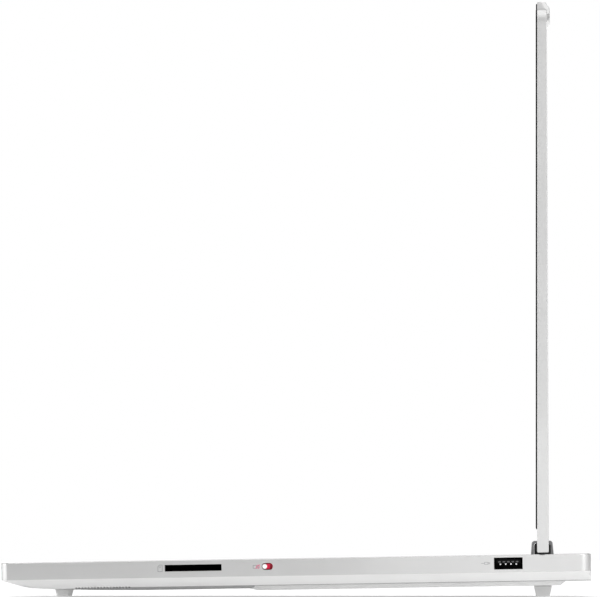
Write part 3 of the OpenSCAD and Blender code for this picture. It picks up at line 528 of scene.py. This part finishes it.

# Bottom cover: softened edges on the underside, then faces cut and given a darker paint as painted shade
under = refined("bottom_cover", UNDECK, [
    (0.4, lambda p: p.z < -11.5 and abs(p.y) < 119 and abs(p.x) < HX - 7.5, 2),
], [painted_light_under_paint, painted_shade_paint], sharp=20.0)
bm = bmesh.new()
bm.from_mesh(under.data)
for place, across in (((0, INTAKE_Y, 0), (0, 1, 0)), ((0, 0, LINE_Z), (0, 0, 1))):
    bmesh.ops.bisect_plane(bm, geom=bm.verts[:] + bm.edges[:] + bm.faces[:], plane_co=DECK @ Vector(place),
                           plane_no=DECK.to_3x3() @ Vector(across), dist=1e-7)
for f in bm.faces:
    if gets_painted_shade(UNDECK @ f.calc_center_median(), (UNDECK.to_3x3() @ f.normal).normalized().z):
        f.material_index = 1
bm.to_mesh(under.data)
bm.free()
under.data.set_sharp_from_angle(angle=math.radians(12))

# Dark mesh behind the rows of speaker openings
bm = bmesh.new()
for side in (-1, 1):
    x0, x1 = sorted((side * (HX - 6.5), side * (HX - 5.2)))
    add_block(bm, (x0, SPEAKERS[0] + 0.2, -11.05), (x1, SPEAKERS[1] - 0.1, -10.6), 0.05)
bm.transform(DECK)
piece("speaker_mesh", bm, "base", "trim_black", deep_black)


# ---------- Keyboard, touchpad and power button ----------
# Depth of the hollow in a keycap's top, how far its sides lean in, and where the hollow starts
DISH = 0.16
TAPER = 0.18
RIM = TAPER + 0.28
# From a keycap's middle line to the end of its hollow
FLAT = 0.6
KEY_CORNER = 1.2
MARGIN = 2.1
# Share of the way from the rim to the middle, and share of the full depth there
DISH_STEPS = ((0.0, 0.0), (0.10, 0.22), (0.24, 0.50), (0.42, 0.76), (0.62, 0.92), (0.82, 1.0))


def dish(x, y, lo, hi):
    """Height of the hollow in a keycap's top below its rim."""
    inset = min(x - lo.x, hi.x - x, y - lo.y, hi.y - y)
    share = (inset - RIM) / (min(hi.x - lo.x, hi.y - lo.y) / 2 - FLAT)
    return -DISH * float(np.interp(share, *zip(*DISH_STEPS)))


def add_keycap(bm, lo, hi):
    """Keycap with leaning sides and a dished top, from the box of its CAD solid."""
    w, d = hi.x - lo.x, hi.y - lo.y
    levels = [(0.0, lo.z), (0.0, hi.z - 0.9), (TAPER * 0.7, hi.z - 0.34), (TAPER, hi.z - 0.16),
              (TAPER + 0.10, hi.z - 0.04)]
    levels += [(RIM + f * (min(w, d) / 2 - FLAT), hi.z - DISH * deep) for f, deep in DISH_STEPS]
    rings = []
    for inset, z in levels:
        outline = rounded((lo.x + hi.x) / 2, (lo.y + hi.y) / 2, w - 2 * inset, d - 2 * inset,
                          max(0.08, KEY_CORNER - inset / 2))
        rings.append([(x, y, z) for x, y in outline])
    loft(bm, rings)


def add_text(bm, text, size, lo, hi, place, material=1):
    """Lays flat lettering on a dished key; its place is a share of the spare room from left and rear."""
    points, faces = glyphs(text, size, 0.03)
    box_lo = Vector([min(p[i] for p in points) for i in range(2)])
    box_hi = Vector([max(p[i] for p in points) for i in range(2)])
    room_x = hi.x - lo.x - 2 * MARGIN - (box_hi.x - box_lo.x)
    room_y = hi.y - lo.y - 2 * MARGIN - (box_hi.y - box_lo.y)
    dx = lo.x + MARGIN + room_x * place[0] - box_lo.x
    dy = hi.y - MARGIN - room_y * place[1] - box_hi.y
    made = [bm.verts.new((p.x + dx, p.y + dy, hi.z + dish(p.x + dx, p.y + dy, lo, hi) + 0.01 + p.z))
            for p in points]
    for f in faces:
        bm.faces.new([made[i] for i in f]).material_index = material


def add_arrow(bm, turn, lo, hi):
    """Printed triangle that points at an angle from +X."""
    cx, cy = (lo.x + hi.x) / 2, (lo.y + hi.y) / 2
    pts = []
    for a in (0, 130, 230):
        x = cx + 1.25 * math.cos(math.radians(a + turn))
        y = cy + 1.25 * math.sin(math.radians(a + turn))
        pts.append((x, y, hi.z + dish(x, y, lo, hi)))
    loft(bm, [[(x, y, z + h) for x, y, z in pts] for h in (-0.01, 0.025)], 1)


LEGENDS = {
    "function_keys": (["esc"] + ["F%d" % i for i in range(1, 13)]
                      + ["prt", "del", "home", "pg up", "pg dn", "end"]),
    "number_keys": [s + "\n" + d for s, d in zip("~!@#$%^&*()_+", "`1234567890-=")] + ["back"],
    "upper_row_keys": ["tab"] + list("QWERTYUIOP") + ["{\n[", "}\n]", "|\n\\"],
    "home_row_keys": ["caps"] + list("ASDFGHJKL") + [":\n;", "\"\n'", "enter"],
    "lower_row_keys": ["shift"] + list("ZXCVBNM") + ["<\n,", ">\n.", "?\n/", "shift"],
    "bottom_row_keys": ["ctrl", "fn", "sys", "alt", "alt", "ctrl"],
    "space_bar": [""],
    "arrow_keys": [90, 180, 270, 0],
    "numpad_keys": ["num", "/", "*", "-", "7", "8", "9", "+", "4", "5", "6", "1", "2", "3", "ent", "0", "."],
}
for node, legends in LEGENDS.items():
    bm = bmesh.new()
    for (lo, hi), mark in zip(solids(node, UNDECK), legends, strict=True):
        add_keycap(bm, lo, hi)
        if isinstance(mark, int):
            add_arrow(bm, mark, lo, hi)
        elif "\n" in mark:
            add_text(bm, mark, 3.0, lo, hi, (0.12, 0.4))
        elif len(mark) > 1:
            add_text(bm, mark, 2.5, lo, hi, (0.1, 0.5))
        elif mark:
            add_text(bm, mark, 4.2, lo, hi, (0.12, 0.2))
        if mark in ("F", "J"):
            # Raised bar for the index finger
            x, y = (lo.x + hi.x) / 2, lo.y + 3.2
            z = hi.z + dish(x, y, lo, hi)
            add_block(bm, (x - 1.8, y - 0.3, z - 0.1), (x + 1.8, y + 0.3, z + 0.12), 0.1)
    bm.transform(DECK)
    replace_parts(piece(node + "_caps", bm, body_of[node], slots[node], keycap, legend), node)

pad_top = local_box("touchpad", UNDECK)[1].z
refined("touchpad", UNDECK, [(0.15, lambda p: p.z > pad_top - TOUCH, 2)])

# Power button: a turned cap with a groove round its dished middle and a standby sign
lo, hi = local_box("power_button", UNDECK)
cap_place = Matrix.Translation(((lo.x + hi.x) / 2, (lo.y + hi.y) / 2, hi.z))
sign_place = cap_place @ Matrix.Translation((0, 0, -0.08))
flange = [(5.6, -2.35), (5.6, -1.8), (4.8, -1.75)]
rim = [(4.8, -0.22), (4.72, -0.06), (4.5, 0.0), (4.1, 0.0)]
groove = [(4.02, -0.1), (3.78, -0.1), (3.7, -0.01)]
hollow = [(2.6, -0.04), (1.2, -0.09), (0.3, -0.1)]
bm = bmesh.new()
turned(bm, flange + rim + groove + hollow, cap_place, 48)
ring_gap = range(36, 325, 16)
ring = [(1.25 * math.sin(math.radians(a)), 1.25 * math.cos(math.radians(a))) for a in ring_gap]
for points in (ring, [(0, 0.35), (0, 1.55)]):
    stroke(bm, points, 0.28, sign_place, 0.03, material=1)
bm.transform(DECK)
cap = piece("power_button_cap", bm, "power_button", slots["power_button"], steel, legend)
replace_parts(cap, "power_button")


# ---------- Ports, switch and side print ----------
for node in ("usb_socket", "usb_tongue", "card_reader", "usb_c_sockets", "hdmi_socket", "audio_jack",
             "power_inlet"):
    nodes[node].data.materials[0] = deep_black.mat

TONGUE_LO, TONGUE_HI = local_box("usb_tongue", UNDECK)
tongue_y = (TONGUE_LO.y + TONGUE_HI.y) / 2
bm = bmesh.new()
for offset in (-3.5, -1.15, 1.15, 3.5):
    # Sprung contact under the tongue with a turned-down nose
    x, y, z = TONGUE_HI.x, tongue_y + offset, TONGUE_LO.z
    add_block(bm, (x - 5.5, y - 0.35, z - 0.22), (x - 0.1, y + 0.35, z - 0.02), 0.06)
    add_block(bm, (x - 0.45, y - 0.32, z - 0.72), (x + 0.1, y + 0.32, z - 0.12), 0.12)
bm.transform(DECK)
piece("usb_contacts", bm, "base", "bare_steel", contact)
bm = bmesh.new()
for i in range(5):
    # Guide ribs on the nose of the tongue
    y = tongue_y + (i - 2) * 1.95
    add_block(bm, (TONGUE_HI.x - 0.3, y - 0.55, TONGUE_LO.z + 0.35),
              (TONGUE_HI.x + 0.12, y + 0.55, TONGUE_LO.z + 0.9), 0.08)
bm.transform(DECK)
piece("usb_tongue_ribs", bm, "base", "trim_black", tooth_grey)

# Camera shutter: a white knob beside a red block and plate with a painted glow, on a plain red carriage
lo, hi = local_box("shutter_slider", UNDECK)
mid_z = (lo.z + hi.z) / 2
knob_y = lo.y + 2.1
knob = [(1.08, lo.x + 0.3), (1.08, hi.x - 0.25), (1.0, hi.x - 0.07), (0.8, hi.x), (0.3, hi.x)]
bm = bmesh.new()
add_block(bm, (lo.x, lo.y, lo.z), (lo.x + 1.2, hi.y, hi.z), 0.1, 2)
add_block(bm, (lo.x + 1.1, knob_y, mid_z - 1.0), (lo.x + 1.24, knob_y + 2.3, mid_z + 1.0), 0.03, 1)
add_block(bm, (lo.x + 1.2, knob_y, mid_z - 0.95), (hi.x - 0.5, knob_y + 1.2, mid_z + 0.95), 0.12, 1)
facing = Matrix.Translation((0, knob_y, mid_z)) @ Matrix.Rotation(math.radians(90), 4, "Y")
turned(bm, knob, facing)
bm.transform(DECK)
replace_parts(piece("shutter_knob", bm, "shutter_slider", slots["shutter_slider"], knob_white, glow_red, red),
            "shutter_slider")


def circle_points(cx, cy, r, n=20):
    """Points of a circle, counter-clockwise from +X."""
    angles = [2 * math.pi * i / n for i in range(n)]
    return [(cx + r * math.cos(a), cy + r * math.sin(a)) for a in angles]


def side_print(name, side, lines, graph=ink, width=0.26, height=0.03):
    """Thin printed lines on a side wall; each is (points, closed) in deck Y and Z."""
    bm = bmesh.new()
    place = Matrix(((0, 0, side, side * (HX - 0.012)), (1, 0, 0, 0), (0, 1, 0, 0), (0, 0, 0, 1)))
    for i, (points, closed) in enumerate(lines):
        stroke(bm, points, width, place, height + 0.006 * i, closed)
    bm.transform(DECK)
    piece(name, bm, "base", "trim_black", graph)


card = [(-60.9, -4.9), (-59.0, -4.9), (-59.0, -2.0), (-60.2, -2.0), (-60.9, -2.7)]
side_print("card_mark", 1, [(card, True), ([(-60.3, -2.6), (-60.3, -3.3)], False),
                            ([(-59.7, -2.6), (-59.7, -3.3)], False)])
side_print("camera_mark", 1, [([(-18.9, -4.1), (-17.3, -4.1), (-17.3, -2.8), (-18.9, -2.8)], True),
                              ([(-17.2, -3.6), (-16.5, -4.0), (-16.5, -2.9), (-17.2, -3.3)], False)])
side_print("shutter_mark", 1, [([(-18.0, -4.3), (-16.0, -2.4)], False),
                               (circle_points(-16.75, -3.45, 0.75), True)], pink_ink, 0.2, 0.05)
side_print("usb_mark", 1, [([(81.6, -3.55), (83.0, -3.55)], False),
                           ([(83.1, -4.0), (84.6, -4.0), (84.6, -3.1), (83.1, -3.1)], True),
                           ([(84.7, -3.8), (85.4, -3.8), (85.4, -3.3), (84.7, -3.3)], True)], width=0.22)
side_print("screen_mark", -1, [([(57.4, -4.4), (60.0, -4.4), (60.0, -2.8), (57.4, -2.8)], True),
                               ([(58.0, -4.95), (59.4, -4.95)], False)])
side_print("plug_mark", -1, [(circle_points(40.0, -3.9, 0.95), True), ([(40.0, -3.6), (40.0, -2.6)], False)])
side_print("sound_mark", -1, [(circle_points(10.4, -4.0, 1.1, 24)[:13], False),
                              ([(9.3, -4.1), (9.3, -4.9)], False), ([(11.5, -4.1), (11.5, -4.9)], False)])


# ---------- Lid ----------
LID_LO, LID_HI = local_box("lid_back_cover", UNLID)
BEZEL_LO, BEZEL_HI = local_box("lid_bezel", UNLID)
SHELL_FRONT = BEZEL_HI.y


def lid_side(p):
    """True for a point on the lid's left or right side."""
    return abs(p.x) > LID_HI.x - TOUCH


def lid_outside(p):
    """True for a point on the lid's outer edge: its sides, upper corners, top or camera housing."""
    corner = abs(p.x) > LID_HI.x - 6.1 and p.z > LID_LO.z + 200
    return lid_side(p) or corner or p.z > LID_HI.z - 14


refined("lid_back_cover", UNLID, [
    (0.3, lambda p: p.y > SHELL_FRONT + 0.5 and lid_outside(p), 3),
    (0.1, lambda p: p.y < SHELL_FRONT + 0.02 and lid_outside(p), 2),
    (0.25, lambda p: p.z < LID_LO.z + 0.9 and lid_side(p), 2),
])
refined("lid_bezel", UNLID, [(0.12, lambda p: p.y < BEZEL_LO.y + 0.02, 2)], [bezel_black])
refined("hinge_covers", UNDECK, [(0.28, None, 3)], sharp=40.0)

# Camera lens: a ring with a funnel, and a domed glass in it
lo, hi = local_box("camera_lens", UNLID)
mid = (lo + hi) / 2
look = Matrix.Translation((mid.x, hi.y, mid.z)) @ Matrix.Rotation(math.radians(90), 4, "X")
deep = hi.y - lo.y
ring = [(1.8, -deep), (1.8, -0.08), (1.72, 0.0), (1.5, 0.0), (1.0, -0.35), (0.96, -0.38)]
dome = [(0.98, -0.6), (0.97, -0.36), (0.8, -0.27), (0.5, -0.2), (0.2, -0.18)]
bm = bmesh.new()
turned(bm, [(r, deep + h) for r, h in ring], look, 40)
turned(bm, [(r, deep + h) for r, h in dome], look, 32, 1)
bm.transform(LID)
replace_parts(piece("camera_lens_ring", bm, "lid", slots["camera_lens"], trim, lens_glass), "camera_lens")

# Camera lamp and two microphones
bm = bmesh.new()
for x, r, m in ((7.5, 0.45, 0), (-16.0, 0.4, 1), (16.0, 0.4, 1)):
    spot = Matrix.Translation((x, BEZEL_LO.y + 0.05, mid.z)) @ Matrix.Rotation(math.radians(90), 4, "X")
    turned(bm, [(r, 0.0), (r, 0.07), (r * 0.8, 0.09), (r * 0.3, 0.09)], spot, 20, m)
bm.transform(LID)
piece("camera_lamp", bm, "lid", "lens", lens_glass, deep_black)


# ---------- Feet, grilles and screws ----------
refined("front_foot", UNDECK, [(0.5, None, 3)])
refined("rear_foot", UNDECK, [(0.5, None, 3)])
refined("rear_grille", UNDECK, [(0.12, None, 2)])

# The front row of screws is in front of this Y, and sits this much deeper, as the underside slopes up
FRONT_ROW = -118.0
SINK = 0.4


def hexagon(r, angle):
    """Polar radius of a hexagon with its corners at r."""
    sixth = math.pi / 6
    return r * math.cos(sixth) / math.cos((angle + sixth) % (2 * sixth) - sixth)


def add_screw(bm, lo, hi, n=36):
    """Screw with its head down and a hexagonal recess, from the box of its CAD solid."""
    cx, cy = (lo.x + hi.x) / 2, (lo.y + hi.y) / 2
    base = lo.z + (SINK if cy < FRONT_ROW else 0.0)
    head = (hi.x - lo.x) / 2
    recess = [(0.5, base + 0.75), (0.85, base + 0.7), (0.9, base + 0.12), (1.0, base + 0.02)]
    outside = [(head - 0.25, base), (head, base + 0.15), (head, base + 0.7)]
    shaft = [(head / 2, base + 1.1), (head / 2, hi.z)]
    angles = [2 * math.pi * i / n for i in range(n)]
    rings = [[(cx + hexagon(r, a) * math.cos(a), cy + hexagon(r, a) * math.sin(a), z) for a in angles]
             for r, z in recess]
    rings += [[(cx + r * math.cos(a), cy + r * math.sin(a), z) for a in angles] for r, z in outside + shaft]
    loft(bm, rings)


bm = bmesh.new()
for lo, hi in solids("case_screws", UNDECK):
    add_screw(bm, lo, hi)
bm.transform(DECK)
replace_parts(piece("case_screw_heads", bm, "base", slots["case_screws"], dark_steel), "case_screws")
